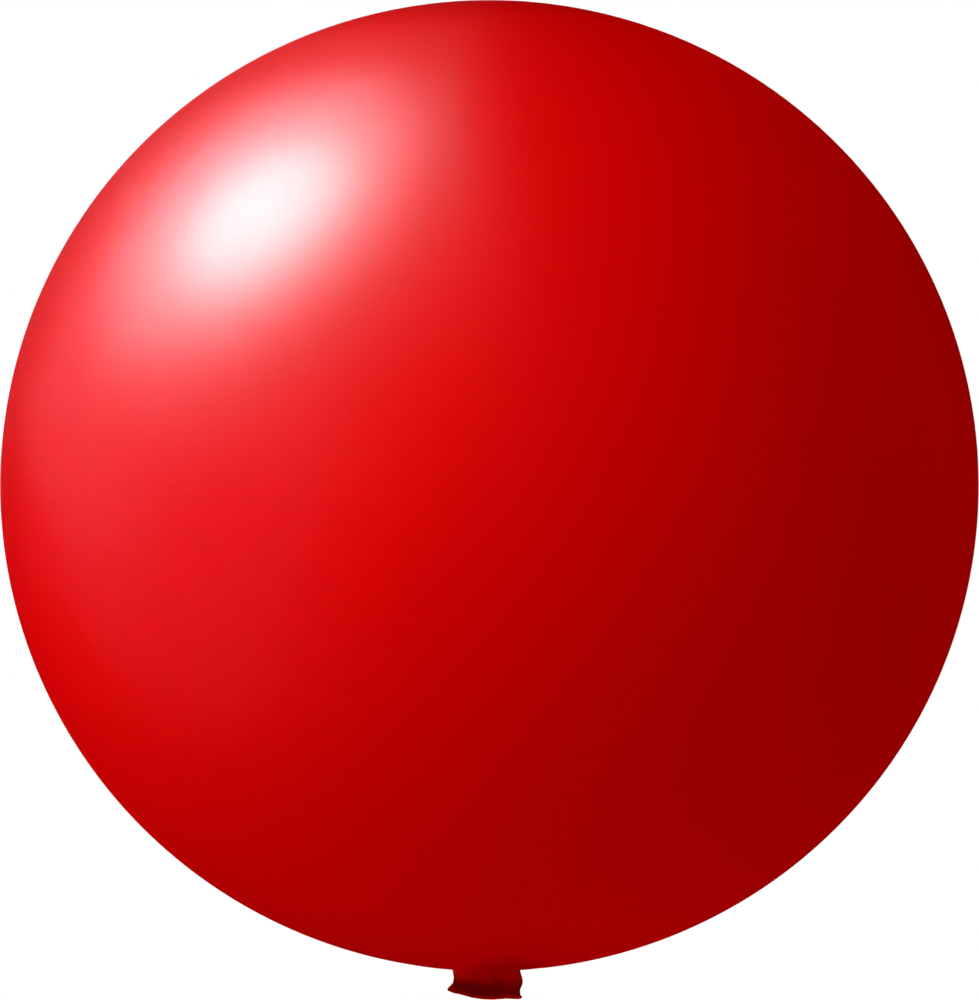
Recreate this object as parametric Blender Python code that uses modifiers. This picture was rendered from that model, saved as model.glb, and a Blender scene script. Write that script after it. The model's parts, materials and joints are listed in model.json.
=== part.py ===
"""Giant latex balloon, inflated, with a short open neck, a rolled lip and a push-in stopper.

Units are metres and +Z is up. The origin is the centre of the inflated envelope, and the neck
hangs straight below it. -Y is the front.
"""
import math

import bmesh
import bpy

GAP = 0.0003                  # running gap between pieces that touch

# Envelope: an ellipsoid of revolution, very slightly flattened
ENVELOPE_RADIUS = 0.455       # horizontal semi-axis, outside
ENVELOPE_HALF_HEIGHT = 0.4515 # vertical semi-axis, outside
WALL = 0.010                  # wall of the envelope's shell
ROUND_STEPS = 56              # facets round the envelope
OUTER_STEPS = 30              # facets from crown to throat, outside
INNER_STEPS = 22              # facets from crown to throat, inside

# Throat: where the neck and the stopper sit, a little left of the envelope's own axis
THROAT_X = -0.0018
THROAT_RADIUS = 0.026         # hole through the envelope's wall
SEAT_TOP_RADIUS = 0.0227      # tapered seat inside the neck, at its upper end
SEAT_RADIUS = 0.0237          # the same, at its lower end
SEAT_TOP = -0.4385
SEAT_BOTTOM = -0.4515

# Neck: a limp skirt below the throat
ROOT_RADIUS = 0.0330          # where the skirt turns out to meet the envelope
SKIRT_WALL = 0.0020
NECK_STEPS = 40

# Lip: the open end of the neck
LIP_X = -0.00375
LIP_Z = -0.4745
LIP_HALF_WIDTH = 0.03295
LIP_HALF_DEPTH = 0.0325
LIP_SLOPE = 0.115             # how much lower the lip hangs for each metre to the right
BEAD_RADIUS = 0.0016

# Stopper: a tapered plug with a flat finger tab
STOPPER_TOP = -0.4370
STOPPER_BOTTOM = -0.4533
TAB_WIDTH = 0.0170
TAB_THICKNESS = 0.0028
TAB_HEIGHT = 0.0120
PLUG_EDGE = 0.0010            # rounding of the plug's and the tab's edges

LATEX_RED = (0.60, 0.004, 0.006, 1.0)
NECK_RED = (0.33, 0.002, 0.003, 1.0)
PLUG_CREAM = (0.80, 0.77, 0.70, 1.0)


def clear_scene():
    for old in list(bpy.data.objects):
        bpy.data.objects.remove(old, do_unlink=True)


def new_collection(name):
    collection = bpy.data.collections.new(name)
    bpy.context.scene.collection.children.link(collection)
    return collection


def material(name, color, roughness, metallic=0.0):
    made = bpy.data.materials.new(name)
    made.use_nodes = True
    shader = made.node_tree.nodes["Principled BSDF"]
    shader.inputs["Base Color"].default_value = color
    shader.inputs["Roughness"].default_value = roughness
    shader.inputs["Metallic"].default_value = metallic
    return made


def finish(obj, mat, sharp_angle=40):
    """Give a piece its material and shade it smooth, with its real edges sharp."""
    obj.data.materials.clear()
    obj.data.materials.append(mat)
    obj.data.shade_smooth()
    obj.data.set_sharp_from_angle(angle=math.radians(sharp_angle))
    return obj


def object_from_bmesh(name, bm, collection):
    mesh = bpy.data.meshes.new(name)
    bm.to_mesh(mesh)
    bm.free()
    obj = bpy.data.objects.new(name, mesh)
    collection.objects.link(obj)
    return obj


def evaluated_mesh(obj):
    """The object's mesh with its modifiers or its curve's bevel made real."""
    graph = bpy.context.evaluated_depsgraph_get()
    return bpy.data.meshes.new_from_object(obj.evaluated_get(graph))


def turned(name, profile, steps, collection):
    """A closed profile of (radius, height) points, turned round the Z axis."""
    bm = bmesh.new()
    corners = [bm.verts.new((radius, 0.0, height)) for radius, height in profile]
    for first, second in zip(corners, corners[1:] + corners[:1]):
        if first.co.x > 0.0 or second.co.x > 0.0:
            bm.edges.new((first, second))
    obj = object_from_bmesh(name, bm, collection)
    screw = obj.modifiers.new("turn", "SCREW")
    screw.axis = "Z"
    screw.steps = steps
    screw.render_steps = steps
    screw.use_merge_vertices = True
    screw.merge_threshold = 0.00001
    return obj


def skin_arc(radius, half_height, throat, steps):
    """Points down an ellipse from the crown on the axis to the throat's radius."""
    last = math.pi - math.asin(throat / radius)
    arc = []
    for step in range(steps + 1):
        angle = last * step / steps
        arc.append((radius * math.sin(angle), half_height * math.cos(angle)))
    return arc


def underside(radius):
    """Height of the envelope's outer skin, near its lowest point, at a distance from the axis."""
    return -ENVELOPE_HALF_HEIGHT * math.sqrt(1.0 - (radius / ENVELOPE_RADIUS) ** 2)


def build_envelope(collection, mat):
    outer = skin_arc(ENVELOPE_RADIUS, ENVELOPE_HALF_HEIGHT, THROAT_RADIUS, OUTER_STEPS)
    inner = skin_arc(ENVELOPE_RADIUS - WALL, ENVELOPE_HALF_HEIGHT - WALL, THROAT_RADIUS, INNER_STEPS)
    obj = turned("envelope", outer + inner[::-1], ROUND_STEPS, collection)
    mesh = evaluated_mesh(obj)
    for vertex in mesh.vertices:
        distance = math.hypot(vertex.co.x, vertex.co.y)
        if vertex.co.z < 0.0 and distance < THROAT_RADIUS * 1.01:
            vertex.co.x += THROAT_X
    obj.modifiers.clear()
    obj.data = mesh
    return finish(obj, mat)


def lip_rise(x):
    """How far the lip lies above its middle at a distance x to the right."""
    return -LIP_SLOPE * (x - LIP_X)


def neck_sections():
    """Rings down the outside of the neck and back up its inside.

    Columns: centre x, half width, half depth, height, share of the lip's slope.
    """
    lip_end = LIP_Z + BEAD_RADIUS + GAP
    lap = THROAT_RADIUS - GAP
    skirt = [
        (-0.0014, 0.0317, 0.0313, -0.4575, 0.1),
        (-0.0006, 0.0319, 0.0315, -0.4625, 0.3),
        (-0.0020, 0.0310, 0.0307, -0.4691, 0.9),
        (-0.0028, 0.0317, 0.0312, -0.4709, 1.0),
        (LIP_X, LIP_HALF_WIDTH, LIP_HALF_DEPTH, lip_end, 1.0),
    ]
    root = [
        (THROAT_X, lap, lap, SEAT_TOP, 0.0),
        (THROAT_X, lap, lap, underside(THROAT_RADIUS) - GAP, 0.0),
        (-0.0022, ROOT_RADIUS, ROOT_RADIUS - 0.0004, underside(ROOT_RADIUS) - GAP, 0.0),
        (-0.0023, 0.0320, 0.0316, -0.4514, 0.0),
        (-0.0023, 0.0314, 0.0310, -0.4524, 0.0),
    ]
    shoulder = [
        (-0.0017, 0.0282, 0.0280, -0.4541, 0.0),
        (THROAT_X, 0.0252, 0.0252, -0.4523, 0.0),
        (THROAT_X, SEAT_RADIUS, SEAT_RADIUS, SEAT_BOTTOM, 0.0),
        (THROAT_X, SEAT_TOP_RADIUS, SEAT_TOP_RADIUS, SEAT_TOP, 0.0),
    ]
    inside = [
        (centre, half_width - SKIRT_WALL, half_depth - SKIRT_WALL, height, slope)
        for centre, half_width, half_depth, height, slope in reversed(skirt)
    ]
    return root + skirt + inside + shoulder


def build_neck(collection, mat):
    bm = bmesh.new()
    rings = []
    for centre, half_width, half_depth, height, slope in neck_sections():
        ring = []
        for step in range(NECK_STEPS):
            angle = 2.0 * math.pi * step / NECK_STEPS
            x = centre + half_width * math.cos(angle)
            y = half_depth * math.sin(angle)
            ring.append(bm.verts.new((x, y, height + slope * lip_rise(x))))
        rings.append(ring)
    for upper, lower in zip(rings, rings[1:] + rings[:1]):
        for step in range(NECK_STEPS):
            after = (step + 1) % NECK_STEPS
            bm.faces.new((upper[step], lower[step], lower[after], upper[after]))
    bmesh.ops.recalc_face_normals(bm, faces=bm.faces)
    return finish(object_from_bmesh("neck", bm, collection), mat)


def build_lip_bead(collection, mat):
    curve = bpy.data.curves.new("lip_bead", "CURVE")
    curve.dimensions = "3D"
    curve.bevel_depth = BEAD_RADIUS
    curve.bevel_resolution = 2
    path = curve.splines.new("POLY")
    path.points.add(NECK_STEPS - 1)
    path.use_cyclic_u = True
    for step, point in enumerate(path.points):
        angle = 2.0 * math.pi * step / NECK_STEPS
        x = LIP_X + LIP_HALF_WIDTH * math.cos(angle)
        y = LIP_HALF_DEPTH * math.sin(angle)
        point.co = (x, y, LIP_Z + lip_rise(x), 1.0)
    rail = bpy.data.objects.new("lip_bead", curve)
    collection.objects.link(rail)
    rail.data.materials.append(mat)
    return rail


def build_stopper(collection, cutters, mat):
    """A tapered bung. Its tab stands across the middle of its outer face."""
    taper = (SEAT_RADIUS - SEAT_TOP_RADIUS) / (SEAT_TOP - SEAT_BOTTOM)
    top = SEAT_TOP_RADIUS - GAP - taper * (STOPPER_TOP - SEAT_TOP)
    bottom = SEAT_RADIUS - GAP
    profile = [
        (0.0, STOPPER_TOP),
        (top - PLUG_EDGE, STOPPER_TOP),
        (top, STOPPER_TOP - PLUG_EDGE),
        (bottom, SEAT_BOTTOM),
        (bottom, STOPPER_BOTTOM + PLUG_EDGE),
        (bottom - PLUG_EDGE, STOPPER_BOTTOM),
        (0.0, STOPPER_BOTTOM),
    ]
    plug = turned("stopper", profile, NECK_STEPS, collection)
    plug.location.x = THROAT_X

    bm = bmesh.new()
    bmesh.ops.create_cube(bm, size=1.0)
    sunk = 0.002                                   # the tab's root inside the plug
    bmesh.ops.scale(bm, vec=(TAB_WIDTH, TAB_THICKNESS, TAB_HEIGHT + sunk), verts=bm.verts)
    middle = STOPPER_BOTTOM + sunk - (TAB_HEIGHT + sunk) / 2.0
    bmesh.ops.translate(bm, vec=(THROAT_X, 0.0, middle), verts=bm.verts)
    lower_corners = [
        edge for edge in bm.edges
        if abs(edge.verts[0].co.x - edge.verts[1].co.x) < 1e-6
        and max(vertex.co.z for vertex in edge.verts) < middle
    ]
    bmesh.ops.bevel(bm, geom=lower_corners, offset=TAB_WIDTH * 0.32, segments=5, profile=0.5,
                    affect="EDGES")
    tab = object_from_bmesh("stopper_tab_shape", bm, cutters)
    tab.hide_render = True
    tab.display_type = "WIRE"

    join = plug.modifiers.new("tab", "BOOLEAN")
    join.operation = "UNION"
    join.solver = "EXACT"
    join.object = tab
    mesh = evaluated_mesh(plug)
    plug.modifiers.clear()
    plug.data = mesh
    return finish(plug, mat)


def main():
    clear_scene()
    balloon = new_collection("giant_latex_balloon")
    cutters = new_collection("shapes_joined_to_pieces")
    skin = material("latex_skin", LATEX_RED, 0.38)
    neck_latex = material("latex_neck", NECK_RED, 0.50)
    plug_plastic = material("stopper_plastic", PLUG_CREAM, 0.45)
    build_envelope(balloon, skin)
    build_neck(balloon, neck_latex)
    build_lip_bead(balloon, neck_latex)
    build_stopper(balloon, cutters, plug_plastic)


main()
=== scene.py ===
import json
import math

import bmesh
import bpy
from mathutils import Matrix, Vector

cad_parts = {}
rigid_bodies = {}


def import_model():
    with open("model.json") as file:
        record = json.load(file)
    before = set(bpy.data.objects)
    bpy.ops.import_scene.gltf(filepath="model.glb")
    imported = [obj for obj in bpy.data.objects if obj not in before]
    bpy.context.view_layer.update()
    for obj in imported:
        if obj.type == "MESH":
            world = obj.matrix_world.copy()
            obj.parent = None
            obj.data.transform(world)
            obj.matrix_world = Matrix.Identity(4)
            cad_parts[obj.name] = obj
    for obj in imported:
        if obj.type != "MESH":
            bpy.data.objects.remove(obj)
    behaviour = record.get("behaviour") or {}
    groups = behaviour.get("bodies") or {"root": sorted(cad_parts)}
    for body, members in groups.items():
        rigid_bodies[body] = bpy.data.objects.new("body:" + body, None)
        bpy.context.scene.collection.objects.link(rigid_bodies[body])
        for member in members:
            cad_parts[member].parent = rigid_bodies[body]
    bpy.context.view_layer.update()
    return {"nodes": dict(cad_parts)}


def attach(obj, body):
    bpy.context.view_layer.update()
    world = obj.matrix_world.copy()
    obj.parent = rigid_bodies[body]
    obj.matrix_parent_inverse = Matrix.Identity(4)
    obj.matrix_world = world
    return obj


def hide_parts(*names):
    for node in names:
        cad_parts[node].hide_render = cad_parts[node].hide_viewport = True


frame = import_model()
print("frame loaded:", ", ".join(sorted(frame["nodes"])))


# shared helpers for node trees and pieces

def link(tree, source, target):
    tree.links.new(source, target)
    return source


def nodeOf(tree, kind, inputs=None, **settings):
    # a node with its settings and its unlinked input values or incoming links
    made = tree.nodes.new(kind)
    for name, value in settings.items():
        setattr(made, name, value)
    for key, value in (inputs or {}).items():
        socket = made.inputs[key]
        if isinstance(value, bpy.types.NodeSocket):
            tree.links.new(value, socket)
        else:
            socket.default_value = value
    return made


def calc(tree, operation, first, second=0.0, third=0.0):
    made = nodeOf(tree, "ShaderNodeMath", operation=operation)
    for socket, value in zip(made.inputs, (first, second, third)):
        if isinstance(value, bpy.types.NodeSocket):
            tree.links.new(value, socket)
        else:
            socket.default_value = value
    return made.outputs[0]


def remap(tree, value, fromMin, fromMax, toMin, toMax, smooth=True):
    kind = "SMOOTHSTEP" if smooth else "LINEAR"
    made = nodeOf(tree, "ShaderNodeMapRange", interpolation_type=kind)
    for socket, amount in zip(made.inputs, (value, fromMin, fromMax, toMin, toMax)):
        if isinstance(amount, bpy.types.NodeSocket):
            tree.links.new(amount, socket)
        else:
            socket.default_value = amount
    return made.outputs[0]


def newGroup(name, kind, inputs, outputs):
    tree = bpy.data.node_groups.new(name, kind)
    for title, socketType, value in inputs:
        socket = tree.interface.new_socket(title, in_out="INPUT", socket_type=socketType)
        if value is not None:
            socket.default_value = value
    for title, socketType in outputs:
        tree.interface.new_socket(title, in_out="OUTPUT", socket_type=socketType)
    return tree, tree.nodes.new("NodeGroupInput").outputs, tree.nodes.new("NodeGroupOutput").inputs


def pieceFromMesh(name, mesh):
    piece = bpy.data.objects.new(name, mesh)
    bpy.context.scene.collection.objects.link(piece)
    return piece


def grownBy(name, base, tree, values):
    # runs a geometry tree on a base piece once and keeps its mesh only
    grow = base.modifiers.new("grow", "NODES")
    grow.node_group = tree
    for item in tree.interface.items_tree:
        if item.item_type == "SOCKET" and item.in_out == "INPUT" and item.name in values:
            grow[item.identifier] = values[item.name]
    graph = bpy.context.evaluated_depsgraph_get()
    mesh = bpy.data.meshes.new_from_object(base.evaluated_get(graph))
    bpy.data.objects.remove(base, do_unlink=True)
    mesh.name = name
    return pieceFromMesh(name, mesh)


def seat(piece, body, slot, *nodes):
    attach(piece, body)
    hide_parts(*nodes)
    print("made", piece.name, "with", len(piece.data.polygons), "faces")


# finishes

latexFinish = {
    "thinRed": (0.770, 0.0004, 0.0005, 1.0),      # film stretched thin
    "thickAndShadedRed": (0.140, 0.0002, 0.0004, 1.0),     # film left thick, and the dark red of painted shade
    "roughness": 0.344,
    "specular": 1.0,
    "crown": (0.404, 0.442, 0.277),      # from and to which height the skin gets smoother, roughness there
    "bloom": 0.30,              # dusty red sheen at the edges
    "bloomRoughness": 0.30,
    "neckRoughness": 0.55,
    "neckSpecular": 0.04,
    "mottle": 0.012,
    "dustAmount": 0.35,
    # thicker film and painted shade on the skin: centre, reach along x, y and z, amount
    "filmAndShadeSpots": [
        ((0.012, -0.004, -0.4515), (0.056, 0.070, 0.05), 0.20),      # thicker film round the neck, with painted shade of the neck
        ((0.014, -0.078, -0.4450), (0.054, 0.100, 0.08), 0.60),    # painted shadow of the neck, a tongue in front of it
        # a wide faint painted shadow in front of the neck
        ((0.012, -0.100, -0.4400), (0.130, 0.220, 0.20), 0.08),
        ((0.016, -0.036, -0.4500), (0.020, 0.030, 0.03), 0.85),    # painted shade in the crease beside the neck's root
        ((0.0, 0.0, 0.4515), (0.040, 0.040, 0.02), 0.22),          # the crown
    ],
}


def mottleGroup():
    # slow cloudiness of a dipped film, round 1
    tree, given, out = newGroup("filmMottle", "ShaderNodeTree", [
        ("Vector", "NodeSocketVector", None),
        ("Scale", "NodeSocketFloat", 6.0),
        ("Strength", "NodeSocketFloat", 0.02),
    ], [("Factor", "NodeSocketFloat")])
    cloud = nodeOf(tree, "ShaderNodeTexNoise", {
        "Vector": given["Vector"], "Scale": given["Scale"], "Detail": 3.0, "Roughness": 0.45})
    centred = calc(tree, "SUBTRACT", cloud.outputs["Fac"], 0.5)
    swing = calc(tree, "MULTIPLY", centred, given["Strength"])
    link(tree, calc(tree, "MULTIPLY_ADD", swing, 2.0, 1.0), out["Factor"])
    return tree


def dustGroup():
    # a few fine dark specks, 1 in a speck
    tree, given, out = newGroup("filmDust", "ShaderNodeTree", [
        ("Vector", "NodeSocketVector", None),
        ("Scale", "NodeSocketFloat", 30.0),
        ("Size", "NodeSocketFloat", 0.02),
        ("Amount", "NodeSocketFloat", 0.3),
    ], [("Mask", "NodeSocketFloat")])
    cells = nodeOf(tree, "ShaderNodeTexVoronoi", {"Vector": given["Vector"], "Scale": given["Scale"]})
    sparse = nodeOf(tree, "ShaderNodeSeparateColor", {"Color": cells.outputs["Color"]})
    chosen = calc(tree, "GREATER_THAN", sparse.outputs[0], 0.9)
    speck = remap(tree, cells.outputs["Distance"], 0.0, given["Size"], 1.0, 0.0)
    shown = calc(tree, "MULTIPLY", calc(tree, "MULTIPLY", chosen, speck), given["Amount"])
    link(tree, shown, out["Mask"])
    return tree


def spotGroup():
    # how much a soft oval spot covers, 1 in its middle
    tree, given, out = newGroup("ovalSpot", "ShaderNodeTree", [
        ("Vector", "NodeSocketVector", None),
        ("Centre", "NodeSocketVector", None),
        ("Reach", "NodeSocketVector", None),
        ("Amount", "NodeSocketFloat", 0.5),
    ], [("Mask", "NodeSocketFloat")])
    offset = nodeOf(tree, "ShaderNodeVectorMath", {0: given["Vector"], 1: given["Centre"]}, operation="SUBTRACT")
    scaled = nodeOf(tree, "ShaderNodeVectorMath", {0: offset.outputs[0], 1: given["Reach"]}, operation="DIVIDE")
    far = nodeOf(tree, "ShaderNodeVectorMath", {0: scaled.outputs[0]}, operation="LENGTH").outputs["Value"]
    link(tree, remap(tree, far, 0.0, 1.0, given["Amount"], 0.0), out["Mask"])
    return tree


def wrinkleGroup():
    # fine creases of unstretched latex, as a height
    tree, given, out = newGroup("filmWrinkle", "ShaderNodeTree", [
        ("Vector", "NodeSocketVector", None),
        ("Scale", "NodeSocketFloat", 120.0),
    ], [("Height", "NodeSocketFloat")])
    coarse = nodeOf(tree, "ShaderNodeTexNoise", {
        "Vector": given["Vector"], "Scale": given["Scale"], "Detail": 4.0, "Distortion": 0.8})
    fineScale = calc(tree, "MULTIPLY", given["Scale"], 5.0)
    fine = nodeOf(tree, "ShaderNodeTexNoise", {"Vector": given["Vector"], "Scale": fineScale})
    link(tree, calc(tree, "MULTIPLY_ADD", fine.outputs["Fac"], 0.25, coarse.outputs["Fac"]), out["Height"])
    return tree


shared = {"mottle": mottleGroup(), "dust": dustGroup(), "spot": spotGroup(), "wrinkle": wrinkleGroup()}


def placeGroup(tree, name, inputs):
    made = tree.nodes.new("ShaderNodeGroup")
    made.node_tree = shared[name]
    for key, value in inputs.items():
        if isinstance(value, bpy.types.NodeSocket):
            tree.links.new(value, made.inputs[key])
        else:
            made.inputs[key].default_value = value
    return made.outputs[0]


def newMaterial(name):
    made = bpy.data.materials.new(name)
    made.use_nodes = True
    tree = made.node_tree
    place = nodeOf(tree, "ShaderNodeTexCoord").outputs["Object"]
    return made, tree, tree.nodes["Principled BSDF"], place


def mixColor(tree, factor, first, second, blend="MIX"):
    made = nodeOf(tree, "ShaderNodeMix", data_type="RGBA", blend_type=blend)
    for socket, value in ((made.inputs[0], factor), (made.inputs[6], first), (made.inputs[7], second)):
        if isinstance(value, bpy.types.NodeSocket):
            tree.links.new(value, socket)
        else:
            socket.default_value = value
    return made.outputs[2]


def distanceTo(tree, place, point):
    return nodeOf(tree, "ShaderNodeVectorMath", {0: place, 1: point}, operation="DISTANCE").outputs["Value"]


def scaledColor(tree, color, factor):
    made = nodeOf(tree, "ShaderNodeVectorMath", operation="SCALE")
    tree.links.new(color, made.inputs[0])
    tree.links.new(factor, made.inputs["Scale"])
    return made.outputs[0]


def skinMaterial():
    look = latexFinish
    made, tree, shader, place = newMaterial("tautLatex")
    thinUnshaded = 1.0
    # the spots darken the skin: thicker film round the neck and at the crown, painted shade and shadow of the neck in
    # front of it and beside its root
    for centre, reach, amount in look["filmAndShadeSpots"]:
        spot = placeGroup(tree, "spot", {"Vector": place, "Centre": centre, "Reach": reach, "Amount": amount})
        thinUnshaded = calc(tree, "MULTIPLY", thinUnshaded, calc(tree, "SUBTRACT", 1.0, spot))
    color = mixColor(tree, thinUnshaded, look["thickAndShadedRed"], look["thinRed"])
    mottle = placeGroup(tree, "mottle", {"Vector": place, "Scale": 7.0, "Strength": look["mottle"]})
    dust = placeGroup(tree, "dust", {"Vector": place, "Scale": 22.0, "Size": 0.018, "Amount": look["dustAmount"]})
    shade = calc(tree, "MULTIPLY", mottle, calc(tree, "SUBTRACT", 1.0, dust))
    link(tree, scaledColor(tree, color, shade), shader.inputs["Base Color"])
    height = nodeOf(tree, "ShaderNodeSeparateXYZ", {0: place}).outputs[2]
    low, high, smoother = look["crown"]
    link(tree, remap(tree, height, low, high, look["roughness"], smoother), shader.inputs["Roughness"])
    shader.inputs["Specular IOR Level"].default_value = look["specular"]
    shader.inputs["Sheen Weight"].default_value = look["bloom"]
    shader.inputs["Sheen Roughness"].default_value = look["bloomRoughness"]
    shader.inputs["Sheen Tint"].default_value = (1.0, 0.0, 0.0, 1.0)
    return made


def neckMaterial():
    look = latexFinish
    made, tree, shader, place = newMaterial("limpLatex")
    filmAndShade = nodeOf(tree, "ShaderNodeAttribute", attribute_name="filmAndShade").outputs["Fac"]
    # the attribute darkens the neck: thicker unstretched film, painted shade of the lower neck and its flare, and
    # painted shade and light of the folds
    color = mixColor(tree, filmAndShade, look["thinRed"], look["thickAndShadedRed"])
    mottle = placeGroup(tree, "mottle", {"Vector": place, "Scale": 60.0, "Strength": 0.05})
    link(tree, scaledColor(tree, color, mottle), shader.inputs["Base Color"])
    shader.inputs["Roughness"].default_value = look["neckRoughness"]
    shader.inputs["Specular IOR Level"].default_value = look["neckSpecular"]
    height = placeGroup(tree, "wrinkle", {"Vector": place, "Scale": 90.0})
    bump = nodeOf(tree, "ShaderNodeBump", {"Height": height, "Strength": 0.25, "Distance": 0.0006})
    link(tree, bump.outputs[0], shader.inputs["Normal"])
    return made


def beadMaterial():
    look = latexFinish
    made, tree, shader, place = newMaterial("rolledLatex")
    across = nodeOf(tree, "ShaderNodeSeparateXYZ", {0: place}).outputs[0]
    filmAndShade = remap(tree, across, -0.018, 0.014, 0.72, 0.26)      # painted shade, darker on the left
    color = mixColor(tree, filmAndShade, look["thinRed"], look["thickAndShadedRed"])
    mottle = placeGroup(tree, "mottle", {"Vector": place, "Scale": 140.0, "Strength": 0.10})
    link(tree, scaledColor(tree, color, mottle), shader.inputs["Base Color"])
    shader.inputs["Roughness"].default_value = look["neckRoughness"]
    shader.inputs["Specular IOR Level"].default_value = look["neckSpecular"]
    height = placeGroup(tree, "wrinkle", {"Vector": place, "Scale": 260.0})
    bump = nodeOf(tree, "ShaderNodeBump", {"Height": height, "Strength": 0.3, "Distance": 0.0003})
    link(tree, bump.outputs[0], shader.inputs["Normal"])
    return made


plugFinish = {"cream": (0.80, 0.77, 0.70, 1.0), "grime": (0.62, 0.56, 0.47, 1.0), "roughness": 0.42}


def plugMaterial():
    look = plugFinish
    made, tree, shader, place = newMaterial("mouldedPlug")
    mottle = placeGroup(tree, "mottle", {"Vector": place, "Scale": 90.0, "Strength": 0.5})
    worn = remap(tree, mottle, 0.9, 1.25, 0.0, 0.35)
    link(tree, mixColor(tree, worn, look["cream"], look["grime"]), shader.inputs["Base Color"])
    shader.inputs["Roughness"].default_value = look["roughness"]
    height = placeGroup(tree, "wrinkle", {"Vector": place, "Scale": 900.0})
    bump = nodeOf(tree, "ShaderNodeBump", {"Height": height, "Strength": 0.12, "Distance": 0.0002})
    link(tree, bump.outputs[0], shader.inputs["Normal"])
    return made


finishes = {
    "skin": skinMaterial(),
    "neck": neckMaterial(),
    "bead": beadMaterial(),
    "plug": plugMaterial(),
}
print("finishes ready")


# envelope: the inflated skin, by rule

envelopeShape = {
    "Radius": 0.455,            # horizontal semi-axis
    "Half Height": 0.4515,      # vertical semi-axis
    "Throat": 0.026,            # radius of the hole under it
    "Throat Shift": -0.0018,    # how far left the hole sits
    "Film": 0.0012,             # thickness of the wall
    "Around": 216,
    "Down": 180,
    "Down Inside": 36,
    "Pucker": 0.00012,          # depth of the faint radial creases round the neck
}


def skinTree():
    tree, given, out = newGroup("envelopeSkin", "GeometryNodeTree", [
        ("Geometry", "NodeSocketGeometry", None),
        ("Radius", "NodeSocketFloat", 0.455),
        ("Half Height", "NodeSocketFloat", 0.4515),
        ("Throat", "NodeSocketFloat", 0.026),
        ("Throat Shift", "NodeSocketFloat", 0.0),
        ("Film", "NodeSocketFloat", 0.001),
        ("Around", "NodeSocketInt", 216),
        ("Down", "NodeSocketInt", 180),
        ("Down Inside", "NodeSocketInt", 36),
        ("Pucker", "NodeSocketFloat", 0.0001),
        ("Finish", "NodeSocketMaterial", None),
    ], [("Geometry", "NodeSocketGeometry")])
    sheets = []
    for side, rows in (("outside", "Down"), ("inside", "Down Inside")):
        inward = given["Film"] if side == "inside" else 0.0
        radius = calc(tree, "SUBTRACT", given["Radius"], inward)
        halfHeight = calc(tree, "SUBTRACT", given["Half Height"], inward)
        grid = nodeOf(tree, "GeometryNodeMeshGrid", {
            "Size X": 1.0, "Size Y": 1.0,
            "Vertices X": calc(tree, "ADD", given["Around"], 1.0),
            "Vertices Y": calc(tree, "ADD", given[rows], 1.0)})
        spot = nodeOf(tree, "ShaderNodeSeparateXYZ", {0: tree.nodes.new("GeometryNodeInputPosition").outputs[0]})
        turn = calc(tree, "MULTIPLY", calc(tree, "ADD", spot.outputs[0], 0.5), 2.0 * math.pi)
        down = calc(tree, "ADD", spot.outputs[1], 0.5)
        left = calc(tree, "SUBTRACT", 1.0, down)
        eased = calc(tree, "SUBTRACT", 1.0, calc(tree, "POWER", left, 3.0))
        share = calc(tree, "MULTIPLY_ADD", eased, 0.6, calc(tree, "MULTIPLY", down, 0.4))
        last = calc(tree, "SUBTRACT", math.pi, calc(tree, "ARCSINE", calc(tree, "DIVIDE", given["Throat"], radius)))
        polar = calc(tree, "MULTIPLY", share, last)
        width = calc(tree, "MULTIPLY", calc(tree, "SINE", polar), radius)
        height = calc(tree, "MULTIPLY", calc(tree, "COSINE", polar), halfHeight)
        # creases fade out away from the throat, and exist only under the envelope
        fade = remap(tree, width, 0.03, 0.11, 1.0, 0.0)
        under = calc(tree, "LESS_THAN", height, 0.0)
        wave = calc(tree, "ADD", calc(tree, "SINE", calc(tree, "MULTIPLY", turn, 23.0)),
                    calc(tree, "SINE", calc(tree, "MULTIPLY_ADD", turn, 9.0, 1.7)))
        crease = calc(tree, "MULTIPLY", calc(tree, "MULTIPLY", fade, under), calc(tree, "MULTIPLY", wave, given["Pucker"]))
        shift = calc(tree, "MULTIPLY", calc(tree, "MULTIPLY", remap(tree, width, 0.03, 0.08, 1.0, 0.0), under), given["Throat Shift"])
        x = calc(tree, "ADD", calc(tree, "MULTIPLY", calc(tree, "COSINE", turn), width), shift)
        y = calc(tree, "MULTIPLY", calc(tree, "SINE", turn), width)
        z = calc(tree, "ADD", height, crease)
        where = nodeOf(tree, "ShaderNodeCombineXYZ", {0: x, 1: y, 2: z})
        bent = nodeOf(tree, "GeometryNodeSetPosition", {"Geometry": grid.outputs["Mesh"], "Position": where.outputs[0]})
        sheets.append(bent.outputs[0])
    turned = nodeOf(tree, "GeometryNodeFlipFaces", {"Mesh": sheets[0]})
    both = tree.nodes.new("GeometryNodeJoinGeometry")
    for sheet in (turned.outputs[0], sheets[1]):
        tree.links.new(sheet, both.inputs[0])
    closed = nodeOf(tree, "GeometryNodeMergeByDistance", {"Geometry": both.outputs[0], "Distance": 0.00002})
    smooth = nodeOf(tree, "GeometryNodeSetShadeSmooth", {"Geometry": closed.outputs[0], "Shade Smooth": True})
    real = nodeOf(tree, "GeometryNodeRealizeInstances", {"Geometry": smooth.outputs[0]})
    dressed = nodeOf(tree, "GeometryNodeSetMaterial", {"Geometry": real.outputs[0], "Material": given["Finish"]})
    link(tree, dressed.outputs[0], out["Geometry"])
    return tree


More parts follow.
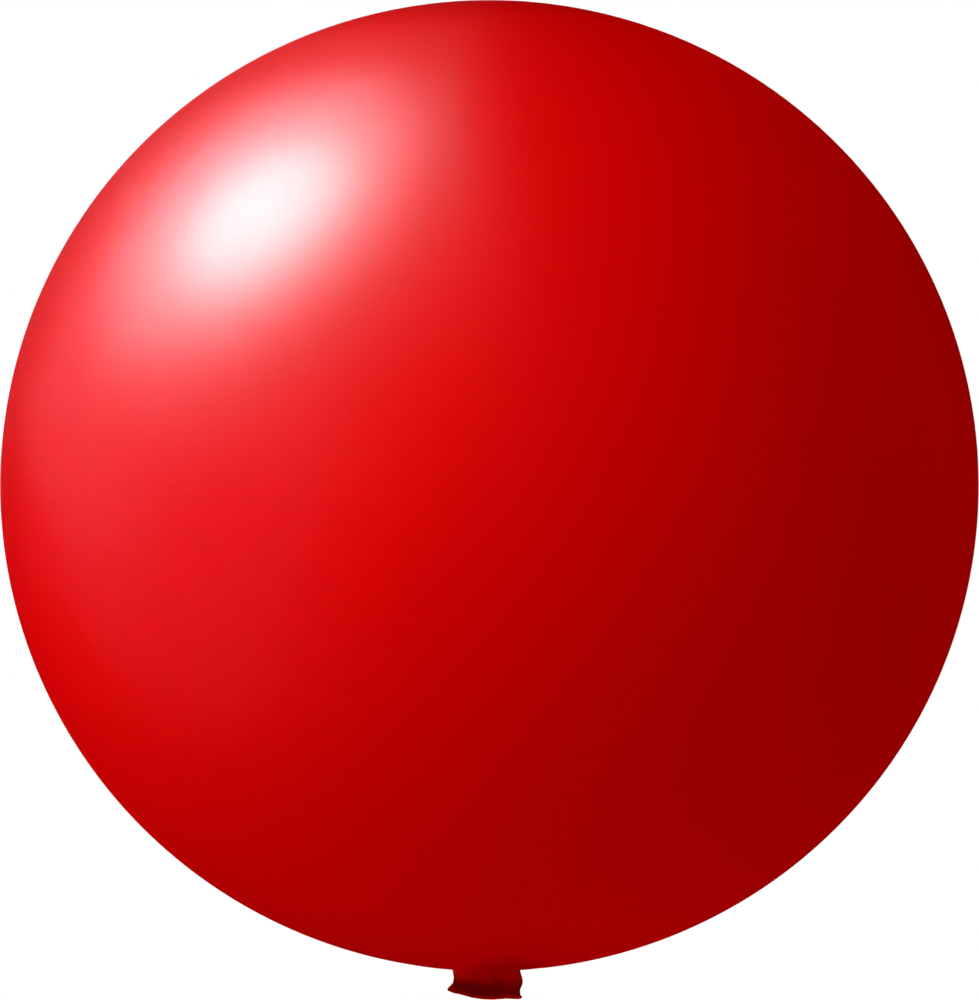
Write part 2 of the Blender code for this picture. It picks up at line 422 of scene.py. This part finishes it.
def closeRim(piece):
    # joins the outer and the inner skin round the throat
    bm = bmesh.new()
    bm.from_mesh(piece.data)
    rim = [edge for edge in bm.edges if edge.is_boundary]
    bmesh.ops.bridge_loops(bm, edges=rim)
    bmesh.ops.recalc_face_normals(bm, faces=bm.faces)
    for face in bm.faces:
        face.smooth = True
    bm.to_mesh(piece.data)
    bm.free()


def makeEnvelope():
    base = pieceFromMesh("envelopeBase", bpy.data.meshes.new("envelopeBase"))
    piece = grownBy("latexEnvelope", base, skinTree(), {**envelopeShape, "Finish": finishes["skin"]})
    closeRim(piece)
    seat(piece, "balloon", "latex_skin", "envelope")
    return piece


makeEnvelope()


# neck: the limp tube under the throat

neckShape = {
    "rootHeight": -0.4502,
    "lipHeight": -0.4738,       # middle of the bead, at the lip's centre
    "lipX": -0.0042,
    "lipSlope": 0.115,          # the lip hangs lower to the right
    "wall": 0.0010,
    "columns": 180,
    "rows": 60,
    # share of the way down, centre x, half width, half depth
    "sections": [
        (-0.04, -0.0025, 0.0345, 0.0341),
        (0.00, -0.0028, 0.0328, 0.0322),
        (0.05, -0.0029, 0.0318, 0.0311),
        (0.12, -0.0027, 0.0316, 0.0310),
        (0.28, -0.0017, 0.0318, 0.0314),
        (0.42, -0.0011, 0.0321, 0.0316),
        (0.58, -0.0016, 0.0321, 0.0312),
        (0.72, -0.0027, 0.0315, 0.0306),
        (0.82, -0.0032, 0.0317, 0.0310),
        (0.92, -0.0040, 0.0327, 0.0321),
        (1.00, -0.0044, 0.0333, 0.0326),
    ],
    # turn in degrees (270 is the front) and how far the lip lies above its plane there
    "lipSlack": [
        (-46, 0.0008), (0, 0.0001), (42, -0.0007), (90, 0.0005), (135, -0.0006), (180, -0.0003),
        (200, -0.0001), (218, -0.0002), (232, -0.0006), (250, -0.0014), (270, -0.0013), (286, -0.0007),
        (299, 0.0003), (314, 0.0008), (360, 0.0001), (402, -0.0007),
    ],
    # turn in degrees, its spread, share down, its spread, how far it stands out, painted shade of the fold (painted
    # light where below 0)
    "folds": [
        (284, 8, 0.42, 0.13, -0.0006, 0.14),
        (250, 9, 0.28, 0.20, -0.0003, 0.12),
        (268, 12, 0.50, 0.12, 0.0004, -0.12),
        (312, 22, 0.20, 0.25, 0.0004, -0.32),
        (205, 25, 0.06, 0.22, 0.0, -0.32),
        (320, 30, 0.60, 0.25, 0.0, -0.20),
        (220, 22, 0.62, 0.18, -0.0004, 0.0),
        (130, 30, 0.40, 0.20, 0.0007, -0.15),
        (60, 26, 0.60, 0.18, -0.0007, 0.10),
        (183, 30, 0.86, 0.11, 0.0017, 0.0),
        (183, 30, 0.30, 0.14, 0.0005, 0.0),
        (305, 24, 0.92, 0.055, 0.0, -0.50),
        (295, 22, -0.01, 0.06, 0.0, 0.36),
        (208, 14, 0.50, 0.16, 0.0, -0.15),
        (190, 14, 0.85, 0.14, 0.0, -0.25),
    ],
    # share down and how dark the film is, 0 thin to 1 thick: thicker unstretched film, and painted shade darkening the
    # lower neck and its flare
    "filmAndShade": [
        (-0.04, 0.28), (0.0, 0.29), (0.12, 0.34), (0.23, 0.38), (0.35, 0.52), (0.46, 0.74), (0.58, 0.95),
        (0.7, 0.96), (0.9, 0.95), (1.0, 0.90),
    ],
}


def smoothSection(share, rows):
    # Catmull-Rom through the rows of a table whose first column is the share
    index = max(i for i, row in enumerate(rows) if row[0] <= share + 1e-9)
    index = min(index, len(rows) - 2)
    before, here, after, later = (rows[max(0, min(len(rows) - 1, index + k))] for k in (-1, 0, 1, 2))
    t = (share - here[0]) / (after[0] - here[0])
    values = []
    for a, b, c, d in list(zip(before, here, after, later))[1:]:
        values.append(0.5 * (2 * b + (c - a) * t + (2 * a - 5 * b + 4 * c - d) * t * t
                             + (3 * b - a - 3 * c + d) * t ** 3))
    return values


def lipRise(turn):
    # height of the bead's middle round the mouth, with its slope and its slack
    look = neckShape
    x = look["lipX"] + 0.033 * math.cos(turn)
    degrees = math.degrees(turn) % 360.0
    slack = smoothSection(degrees, look["lipSlack"])[0]
    return look["lipHeight"] - look["lipSlope"] * (x - look["lipX"]) + slack


def foldsAt(turn, share):
    for middle, spread, down, downSpread, out, foldShade in neckShape["folds"]:
        gap = (math.degrees(turn) - middle + 180.0) % 360.0 - 180.0
        yield math.exp(-(gap / spread) ** 2 - ((share - down) / downSpread) ** 2), out, foldShade


# how dark the neck is here: thicker unstretched film, painted shade of the lower neck and flare, and painted shade and
# light of the folds
def filmAndShadeAt(turn, share):
    darkening = smoothSection(share, neckShape["filmAndShade"])[0]
    for covers, out, foldShade in foldsAt(turn, share):
        darkening += foldShade * covers
    return min(1.0, max(0.0, darkening))


def neckPoint(turn, share, inward=0.0):
    look = neckShape
    centre, halfWidth, halfDepth = smoothSection(share, look["sections"])
    stand = -inward
    for covers, out, foldShade in foldsAt(turn, share):
        stand += out * covers
    limp = max(0.0, share) ** 2
    stand += limp * (0.00025 * math.sin(7.0 * turn + 0.8) + 0.00016 * math.sin(12.0 * turn + 2.1))
    x = centre + (halfWidth + stand) * math.cos(turn)
    y = (halfDepth + stand) * math.sin(turn)
    z = look["rootHeight"] + (lipRise(turn) - look["rootHeight"]) * share
    return Vector((x, y, z))


def makeNeck():
    look = neckShape
    bm = bmesh.new()
    first = look["sections"][0][0]
    down = [first + (1.0 - first) * row / look["rows"] for row in range(look["rows"] + 1)]
    path = [(share, 0.0) for share in down] + [(share, look["wall"]) for share in reversed(down)]
    filmAndShade = bm.verts.layers.float.new("filmAndShade")
    rings = []
    for share, inward in path:
        ring = []
        for step in range(look["columns"]):
            turn = 2.0 * math.pi * step / look["columns"]
            vertex = bm.verts.new(neckPoint(turn, share, inward))
            vertex[filmAndShade] = filmAndShadeAt(turn, share)
            ring.append(vertex)
        rings.append(ring)
    for upper, lower in zip(rings, rings[1:] + rings[:1]):
        for step in range(look["columns"]):
            after = (step + 1) % look["columns"]
            face = bm.faces.new((upper[step], lower[step], lower[after], upper[after]))
            face.smooth = True
    bmesh.ops.recalc_face_normals(bm, faces=bm.faces)
    mesh = bpy.data.meshes.new("latexNeck")
    bm.to_mesh(mesh)
    bm.free()
    piece = pieceFromMesh("latexNeck", mesh)
    mesh.materials.append(finishes["neck"])
    seat(piece, "balloon", "latex_neck", "neck")
    return piece


makeNeck()


# lip: the rolled rim, a lobed roll that follows the mouth

lipShape = {"Bead": 0.0016, "Lobes": 3.0, "Lobe Depth": 0.20, "Twist": 5.0, "Slack": 0.0004}


def lipTree():
    tree, given, out = newGroup("rolledLip", "GeometryNodeTree", [
        ("Geometry", "NodeSocketGeometry", None),
        ("Bead", "NodeSocketFloat", 0.0016),
        ("Lobes", "NodeSocketFloat", 3.0),
        ("Lobe Depth", "NodeSocketFloat", 0.1),
        ("Twist", "NodeSocketFloat", 3.0),
        ("Slack", "NodeSocketFloat", 0.0002),
        ("Finish", "NodeSocketMaterial", None),
    ], [("Geometry", "NodeSocketGeometry")])
    along = nodeOf(tree, "GeometryNodeSplineParameter").outputs["Factor"]
    twist = calc(tree, "MULTIPLY", calc(tree, "MULTIPLY", along, given["Twist"]), 2.0 * math.pi / 3.0)
    tilted = nodeOf(tree, "GeometryNodeSetCurveTilt", {"Curve": given["Geometry"], "Tilt": twist})
    ring = nodeOf(tree, "GeometryNodeCurvePrimitiveCircle", {"Resolution": 30, "Radius": 1.0})
    here = nodeOf(tree, "ShaderNodeSeparateXYZ", {0: tree.nodes.new("GeometryNodeInputPosition").outputs[0]})
    angle = calc(tree, "ARCTAN2", here.outputs[1], here.outputs[0])
    lobe = calc(tree, "ABSOLUTE", calc(tree, "COSINE", calc(tree, "MULTIPLY", angle, calc(tree, "MULTIPLY", given["Lobes"], 0.5))))
    reach = calc(tree, "SUBTRACT", 1.0, calc(tree, "MULTIPLY", given["Lobe Depth"], calc(tree, "SUBTRACT", 1.0, lobe)))
    size = calc(tree, "MULTIPLY", reach, given["Bead"])
    outline = nodeOf(tree, "ShaderNodeCombineXYZ", {
        0: calc(tree, "MULTIPLY", here.outputs[0], size), 1: calc(tree, "MULTIPLY", here.outputs[1], size)})
    roll = nodeOf(tree, "GeometryNodeSetPosition", {"Geometry": ring.outputs[0], "Position": outline.outputs[0]})
    swept = nodeOf(tree, "GeometryNodeCurveToMesh", {"Curve": tilted.outputs[0], "Profile Curve": roll.outputs[0]})
    lump = nodeOf(tree, "ShaderNodeTexNoise", {"Scale": 150.0, "Detail": 2.0})
    centred = nodeOf(tree, "ShaderNodeVectorMath", {0: lump.outputs["Color"], 1: (0.5, 0.5, 0.5)}, operation="SUBTRACT")
    push = nodeOf(tree, "ShaderNodeVectorMath", {0: centred.outputs[0]}, operation="SCALE")
    tree.links.new(given["Slack"], push.inputs["Scale"])
    slack = nodeOf(tree, "GeometryNodeSetPosition", {"Geometry": swept.outputs[0], "Offset": push.outputs[0]})
    smooth = nodeOf(tree, "GeometryNodeSetShadeSmooth", {"Geometry": slack.outputs[0], "Shade Smooth": True})
    real = nodeOf(tree, "GeometryNodeRealizeInstances", {"Geometry": smooth.outputs[0]})
    dressed = nodeOf(tree, "GeometryNodeSetMaterial", {"Geometry": real.outputs[0], "Material": given["Finish"]})
    link(tree, dressed.outputs[0], out["Geometry"])
    return tree


def makeLip():
    curve = bpy.data.curves.new("lipPath", "CURVE")
    curve.dimensions = "3D"
    path = curve.splines.new("POLY")
    steps = 240
    path.points.add(steps - 1)
    path.use_cyclic_u = True
    for step, point in enumerate(path.points):
        turn = 2.0 * math.pi * step / steps
        spot = neckPoint(turn, 1.0, 0.0002)
        point.co = (spot.x, spot.y, lipRise(turn), 1.0)
    base = bpy.data.objects.new("lipPath", curve)
    bpy.context.scene.collection.objects.link(base)
    piece = grownBy("latexLip", base, lipTree(), {**lipShape, "Finish": finishes["bead"]})
    seat(piece, "balloon", "latex_neck", "lip_bead")
    return piece


makeLip()


# stopper: a moulded plug with two sealing grooves and a ribbed finger tab

stopperShape = {
    "x": -0.0018,
    "top": -0.4370,
    "seatTop": -0.4385,
    "seatBottom": -0.4515,
    "face": -0.4533,
    "topRadius": 0.0224,
    "bottomRadius": 0.0234,
    "edge": 0.0010,
    "grooves": [-0.4420, -0.4470],
    "grooveDepth": 0.0009,
    "dishRadius": 0.0165,
    "dishDepth": 0.0005,
    "tabWidth": 0.0170,
    "tabThickness": 0.0024,
    "tabHeight": 0.0120,
    "tabSunk": 0.0015,          # the tab's root inside the plug
    "tabRound": 0.0054,         # rounding of the tab's lower corners
    "steps": 96,
}
ribShape = {"Ribs": 5, "Spacing": 0.0016, "Length": 0.0104, "Rib": 0.0004, "Stand": 0.0012, "Lowest": -0.4635,
            "Middle": -0.0018}


def arcPoints(centreX, centreZ, radius, fromDegrees, toDegrees, steps):
    spots = []
    for step in range(steps + 1):
        angle = math.radians(fromDegrees + (toDegrees - fromDegrees) * step / steps)
        spots.append((centreX + radius * math.cos(angle), centreZ + radius * math.sin(angle)))
    return spots


def plugProfile():
    look = stopperShape
    edge = look["edge"]
    slope = (look["bottomRadius"] - look["topRadius"]) / (look["seatTop"] - look["seatBottom"])

    def side(height):
        return look["topRadius"] + slope * (look["seatTop"] - height)

    outline = [(0.0, look["top"])]
    outline += arcPoints(side(look["top"]) - edge, look["top"] - edge, edge, 90, 0, 5)
    for groove in look["grooves"]:
        deep = side(groove) - look["grooveDepth"]
        outline += [(side(groove), groove + 0.0009), (deep, groove + 0.0004),
                    (deep, groove - 0.0004), (side(groove), groove - 0.0009)]
    outline += [(look["bottomRadius"], look["seatBottom"])]
    outline += arcPoints(look["bottomRadius"] - edge, look["face"] + edge, edge, 0, -90, 5)
    dish = look["face"] + look["dishDepth"]
    outline += [(look["dishRadius"], look["face"]), (look["dishRadius"] - look["dishDepth"], dish), (0.0, dish)]
    return outline


def turnedPlug(bm):
    look = stopperShape
    rings = []
    for radius, height in plugProfile():
        turns = [2.0 * math.pi * step / look["steps"] for step in range(look["steps"] if radius else 1)]
        rings.append([bm.verts.new((look["x"] + radius * math.cos(t), radius * math.sin(t), height)) for t in turns])
    for upper, lower in zip(rings, rings[1:]):
        for step in range(look["steps"]):
            after = (step + 1) % look["steps"]
            corners = [upper[step % len(upper)], lower[step % len(lower)],
                       lower[after % len(lower)], upper[after % len(upper)]]
            bm.faces.new(list(dict.fromkeys(corners)))


def fingerTab(bm):
    look = stopperShape
    tab = bmesh.ops.create_cube(bm, size=1.0)["verts"]
    tall = look["tabHeight"] + look["tabSunk"]
    bmesh.ops.scale(bm, vec=(look["tabWidth"], look["tabThickness"], tall), verts=tab)
    bmesh.ops.translate(bm, vec=(look["x"], 0.0, look["face"] + look["tabSunk"] - tall / 2), verts=tab)
    edges = {edge for vertex in tab for edge in vertex.link_edges}
    low = [edge for edge in edges
           if abs(edge.verts[0].co.y - edge.verts[1].co.y) > look["tabThickness"] / 2
           and edge.verts[0].co.z < look["face"]]
    bmesh.ops.bevel(bm, geom=low, offset=look["tabRound"], segments=8, profile=0.5, affect="EDGES")


def ribTree():
    # grip ribs in rows on both sides of the tab, joined to the plug as one body
    tree, given, out = newGroup("gripRibs", "GeometryNodeTree", [
        ("Geometry", "NodeSocketGeometry", None),
        ("Ribs", "NodeSocketInt", 5),
        ("Spacing", "NodeSocketFloat", 0.0016),
        ("Length", "NodeSocketFloat", 0.01),
        ("Rib", "NodeSocketFloat", 0.0004),
        ("Stand", "NodeSocketFloat", 0.0012),
        ("Lowest", "NodeSocketFloat", -0.4635),
        ("Middle", "NodeSocketFloat", 0.0),
        ("Finish", "NodeSocketMaterial", None),
    ], [("Geometry", "NodeSocketGeometry")])
    half = calc(tree, "MULTIPLY", given["Length"], 0.5)
    left = nodeOf(tree, "ShaderNodeCombineXYZ", {0: calc(tree, "MULTIPLY", half, -1.0)})
    right = nodeOf(tree, "ShaderNodeCombineXYZ", {0: half})
    line = nodeOf(tree, "GeometryNodeCurvePrimitiveLine", {"Start": left.outputs[0], "End": right.outputs[0]})
    ring = nodeOf(tree, "GeometryNodeCurvePrimitiveCircle", {"Resolution": 12, "Radius": given["Rib"]})
    bar = nodeOf(tree, "GeometryNodeCurveToMesh", {
        "Curve": line.outputs[0], "Profile Curve": ring.outputs[0], "Fill Caps": True})
    joined = nodeOf(tree, "GeometryNodeMeshBoolean", {"Self Intersection": True}, operation="UNION", solver="EXACT")
    tree.links.new(given["Geometry"], joined.inputs["Mesh 2"])
    for side in (-1.0, 1.0):
        start = nodeOf(tree, "ShaderNodeCombineXYZ", {
            0: given["Middle"], 1: calc(tree, "MULTIPLY", given["Stand"], side), 2: given["Lowest"]})
        step = nodeOf(tree, "ShaderNodeCombineXYZ", {2: given["Spacing"]})
        row = nodeOf(tree, "GeometryNodeMeshLine", {
            "Count": given["Ribs"], "Start Location": start.outputs[0], "Offset": step.outputs[0]})
        ribs = nodeOf(tree, "GeometryNodeInstanceOnPoints", {"Points": row.outputs[0], "Instance": bar.outputs[0]})
        real = nodeOf(tree, "GeometryNodeRealizeInstances", {"Geometry": ribs.outputs[0]})
        tree.links.new(real.outputs[0], joined.inputs["Mesh 2"])
    whole = nodeOf(tree, "GeometryNodeRealizeInstances", {"Geometry": joined.outputs[0]})
    dressed = nodeOf(tree, "GeometryNodeSetMaterial", {"Geometry": whole.outputs[0], "Material": given["Finish"]})
    link(tree, dressed.outputs[0], out["Geometry"])
    return tree


def makeStopper():
    bm = bmesh.new()
    turnedPlug(bm)
    fingerTab(bm)
    bmesh.ops.recalc_face_normals(bm, faces=bm.faces)
    mesh = bpy.data.meshes.new("plugBase")
    bm.to_mesh(mesh)
    bm.free()
    piece = grownBy("throatStopper", pieceFromMesh("plugBase", mesh), ribTree(),
                    {**ribShape, "Finish": finishes["plug"]})
    piece.data.shade_smooth()
    piece.data.set_sharp_from_angle(angle=math.radians(35))
    seat(piece, "stopper", "stopper_plastic", "stopper")
    return piece


makeStopper()


# studio: floor, soft lights and camera

studio = {
    "floorHeight": -1.5,
    "floorRadius": 9.0,
    "distance": 5.0,
    "height": -0.01341,
    "side": 0.00002,
    "lens": 192.76,
    "ceiling": (0.60, 0.61, 0.63, 1.0),
}

white = (1.0, 1.0, 1.0)
# name, turn from the front to the right, height above the horizon, full angle, strength, tint, what it lights
softLights = [
    ("roomAbove", 0.0, 90.0, 180.0, 0.30, white, "matt"),
    ("roomRight", 90.0, 0.0, 180.0, 1.17, white, "matt"),
    ("roomBack", 180.0, 0.0, 180.0, 0.50, white, "matt"),
    ("keySoft", -56.3, 31.3, 37.3, 2.17, white, "matt"),
    ("topFill", -83.9, 48.0, 30.3, 1.48, white, "matt"),
    ("lowFill", -42.1, -15.8, 22.0, 0.975, white, "matt"),
    ("backRim", -160.7, -53.5, 43.2, 1.04, white, "matt"),
    ("glossCore", -89.6, 50.3, 31.1, 2.67, white, "gloss"),
    ("glossHalo", -98.8, 49.1, 57.7, 1.79, (0.95, 0.90, 1.0), "gloss"),
    ("glossVeil", -102.5, 31.7, 82.0, 0.32, (0.90, 0.75, 1.0), "gloss"),
    ("glossSheen", -78.6, 5.2, 88.2, 0.16, (0.93, 0.84, 1.0), "gloss"),
]

# open tubes, out of every camera's sight, that end the highlight softly on the right and below
shades = {
    "rightShade": {"along": "X", "radius": 0.55, "start": -0.06, "end": 1.3},
    "lowShade": {"along": "Z", "radius": 0.52, "start": -1.3, "end": 0.09},
    "mattShade": {"along": "X", "radius": 0.75, "start": -0.263, "end": 1.3},
}
shadedBy = {"glossCore": ("rightShade", "lowShade"), "glossHalo": ("rightShade", "lowShade"), "glossVeil": ("rightShade",),
            "topFill": ("mattShade",)}


def makeLights():
    for name, turn, rise, spread, strength, tint, lights in softLights:
        lamp = bpy.data.lights.new(name, "SUN")
        lamp.energy = strength
        lamp.angle = math.radians(spread)
        lamp.color = tint
        lamp.cycles.use_multiple_importance_sampling = False    # keeps matt and gloss light apart
        holder = bpy.data.objects.new(name, lamp)
        bpy.context.scene.collection.objects.link(holder)
        a, e = math.radians(turn), math.radians(rise)
        toLight = Vector((math.sin(a) * math.cos(e), -math.cos(a) * math.cos(e), math.sin(e)))
        holder.rotation_euler = toLight.to_track_quat("Z", "Y").to_euler()
        holder.location = toLight * 3.0
        holder.visible_diffuse = lights == "matt"
        holder.visible_glossy = lights == "gloss"


def makeShade(name, look):
    bm = bmesh.new()
    length = look["end"] - look["start"]
    bmesh.ops.create_cone(bm, segments=96, radius1=look["radius"], radius2=look["radius"], depth=length)
    middle = (look["start"] + look["end"]) / 2.0
    for vertex in bm.verts:
        across, side, along = vertex.co.x, vertex.co.y, vertex.co.z + middle
        vertex.co = (along, across, side) if look["along"] == "X" else (across, side, along)
    mesh = bpy.data.meshes.new(name)
    bm.to_mesh(mesh)
    bm.free()
    shade = pieceFromMesh(name, mesh)
    shade.visible_camera = False
    shade.visible_diffuse = False
    shade.visible_glossy = False
    return shade


def shadeLights():
    # each lamp passes through the shades that aren't its own
    made = {name: makeShade(name, look) for name, look in shades.items()}
    for name, *rest in softLights:
        passes = bpy.data.collections.new(name + "Passes")
        for shade in shades:
            if shade not in shadedBy.get(name, ()):
                passes.objects.link(made[shade])
        for item in passes.collection_objects:
            item.light_linking.link_state = "EXCLUDE"
        if passes.objects:
            bpy.data.objects[name].light_linking.blocker_collection = passes


def makeWorld():
    # for the camera only, the lamps do the lighting: white all round, pale grey overhead
    world = bpy.data.worlds.new("studioWhite")
    bpy.context.scene.world = world
    world.use_nodes = True
    tree = world.node_tree
    tree.nodes.clear()
    path = nodeOf(tree, "ShaderNodeLightPath")
    toward = nodeOf(tree, "ShaderNodeTexCoord").outputs["Generated"]
    upward = nodeOf(tree, "ShaderNodeSeparateXYZ", {0: toward}).outputs[2]
    overhead = remap(tree, upward, 0.15, 0.55, 0.0, 1.0)
    color = mixColor(tree, overhead, (1.0, 1.0, 1.0, 1.0), studio["ceiling"])
    shown = nodeOf(tree, "ShaderNodeBackground", {"Color": color, "Strength": path.outputs["Is Camera Ray"]})
    nodeOf(tree, "ShaderNodeOutputWorld", {"Surface": shown.outputs[0]})


def makeFloor():
    bm = bmesh.new()
    bmesh.ops.create_circle(bm, cap_ends=True, radius=studio["floorRadius"], segments=96)
    bmesh.ops.translate(bm, vec=(0.0, 0.0, studio["floorHeight"]), verts=bm.verts)
    mesh = bpy.data.meshes.new("studioFloor")
    bm.to_mesh(mesh)
    bm.free()
    floor = pieceFromMesh("studioFloor", mesh)
    made, tree, shader, place = newMaterial("paleFloor")
    shader.inputs["Base Color"].default_value = (0.8, 0.8, 0.8, 1.0)
    shader.inputs["Roughness"].default_value = 0.9
    edge = remap(tree, distanceTo(tree, place, (0.0, 0.0, studio["floorHeight"])), 3.0, studio["floorRadius"] - 0.2, 0.3, 1.0)
    link(tree, edge, shader.inputs["Emission Strength"])
    shader.inputs["Emission Color"].default_value = (1.0, 1.0, 1.0, 1.0)
    under = nodeOf(tree, "ShaderNodeNewGeometry").outputs["Backfacing"]
    link(tree, calc(tree, "SUBTRACT", 1.0, under), shader.inputs["Alpha"])      # seen from above only
    mesh.materials.append(made)
    floor.visible_diffuse = False
    floor.visible_glossy = False
    floor.visible_shadow = False      # lets the light from below through
    return floor


def makeCamera():
    lens = bpy.data.cameras.new("photoView")
    lens.sensor_width = 36.0
    lens.lens = studio["lens"]
    lens.clip_end = 100.0
    camera = bpy.data.objects.new("photoView", lens)
    camera.location = (studio["side"], -studio["distance"], studio["height"])
    camera.rotation_euler = (math.radians(90.0), 0.0, 0.0)
    bpy.context.scene.collection.objects.link(camera)
    bpy.context.scene.camera = camera


makeLights()
shadeLights()
makeWorld()
makeFloor()
makeCamera()
bpy.context.scene.view_settings.view_transform = "Standard"
bpy.context.scene.view_settings.look = "None"
print("studio ready")
